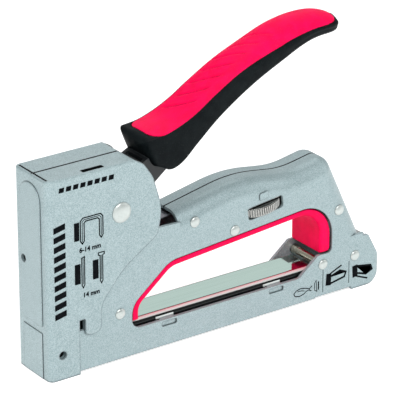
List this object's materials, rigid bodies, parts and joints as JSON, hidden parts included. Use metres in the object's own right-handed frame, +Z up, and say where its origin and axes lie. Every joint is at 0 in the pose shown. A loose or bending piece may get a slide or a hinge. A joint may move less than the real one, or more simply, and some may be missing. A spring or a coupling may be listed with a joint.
{
  "type": "hand staple gun",
  "caption": "Hand staple gun with a squeeze lever, pressed-steel body, lined hand hole, rear-loading magazine and a thumb wheel that sets the driving power.",
  "frame": {"origin": "middle of the footprint, on the surface that the tool stands on", "axes": "+X from the nose to the rear end, +Y to the right of a user who holds the tool with its nose pointing away, +Z up"},
  "size_m": [0.1908, 0.0306, 0.1446],
  "materials": {
    "silver_paint": "fine-grained silver hammer paint",
    "black_steel": "black coated steel, satin",
    "zinc_steel": "bright zinc plated steel",
    "rivet_steel": "bright nickel plated steel",
    "spring_steel": "oiled blue-grey spring steel",
    "brassed_steel": "pale passivated steel tube",
    "wheel_metal": "knurled nickel plated steel",
    "chrome_plate": "bright chrome plate",
    "red_soft_plastic": "soft-touch crimson plastic",
    "black_plastic": "fine-textured black plastic",
    "bumper_rubber": "black rubber"
  },
  "bodies": {
    "frame": {"side_plate_left": "silver_paint", "side_plate_right": "silver_paint", "front_housing": "silver_paint", "nose_plate": "silver_paint", "nose_block": "black_steel", "driver_bumper": "bumper_rubber", "driver_guide": "zinc_steel", "pivot_rivet": "rivet_steel", "body_rivets": "rivet_steel", "body_spacers": "zinc_steel", "rear_cross_sleeve": "brassed_steel", "rear_stop_sleeve": "zinc_steel", "hand_hole_liner": "red_soft_plastic", "magazine_cover": "chrome_plate", "staple_channel": "black_steel", "main_leaf": "spring_steel", "helper_leaf": "spring_steel", "spring_anchor": "black_steel", "anchor_screw": "zinc_steel", "wheel_bracket": "zinc_steel", "lever_return_spring": "spring_steel"},
    "handle": {"lever_arm": "black_steel", "pivot_sleeve": "zinc_steel", "grip_shell": "black_plastic", "grip_inlay": "red_soft_plastic"},
    "driver": {"driver_blade": "spring_steel", "driver_carrier": "zinc_steel", "carrier_pin": "zinc_steel", "carrier_rivets": "zinc_steel"},
    "power_wheel": {"power_wheel": "wheel_metal"},
    "power_screw": {"power_screw": "zinc_steel"},
    "drawer": {"magazine_rail": "zinc_steel", "guide_rod": "zinc_steel", "rail_plug": "black_plastic", "end_block": "black_plastic", "latch_pin": "zinc_steel", "latch_spring": "spring_steel", "pusher_spring": "spring_steel"},
    "pusher": {"pusher": "zinc_steel"},
    "latch": {"latch_lever": "zinc_steel"}
  },
  "joints": [
    {"name": "handle_squeeze", "type": "hinge", "parent": "frame", "child": "handle", "pos_m": [-0.0549, 0, 0.0751], "axis": [0, 1, 0], "range_deg": [0, 30], "stiffness_Nm_per_rad": 1.2, "springref_deg": -20.05, "deforming": ["lever_return_spring"]},
    {"name": "driver_lift", "type": "slide", "parent": "frame", "child": "driver", "axis": [0, 0, 1], "range_m": [0, 0.01797], "deforming": ["main_leaf"]},
    {"name": "power_wheel_turn", "type": "hinge", "parent": "frame", "child": "power_wheel", "pos_m": [0.0273, 0, 0.0558], "axis": [-0.1219, 0, 0.9925], "range_deg": [-540, 0]},
    {"name": "power_screw_travel", "type": "slide", "parent": "frame", "child": "power_screw", "axis": [-0.1219, 0, 0.9925], "range_m": [-0.0015, 0]},
    {"name": "magazine_slide", "type": "slide", "parent": "frame", "child": "drawer", "axis": [1, 0, 0], "range_m": [0, 0.108]},
    {"name": "pusher_travel", "type": "slide", "parent": "drawer", "child": "pusher", "axis": [1, 0, 0], "range_m": [0, 0.095], "stiffness_N_per_m": 12, "springref_m": -0.06, "deforming": ["pusher_spring"]},
    {"name": "latch_press", "type": "hinge", "parent": "drawer", "child": "latch", "pos_m": [0.0886, 0, 0.0185], "axis": [0, 1, 0], "range_deg": [0, 14], "stiffness_Nm_per_rad": 0.05, "springref_deg": -22.92, "deforming": ["latch_spring"]}
  ],
  "couplings": [
    {"joint": "driver_lift", "follows": "handle_squeeze", "m_per_rad": 0.034287},
    {"joint": "power_wheel_turn", "follows": "power_screw_travel", "rad_per_m": 6283.2}
  ]
}
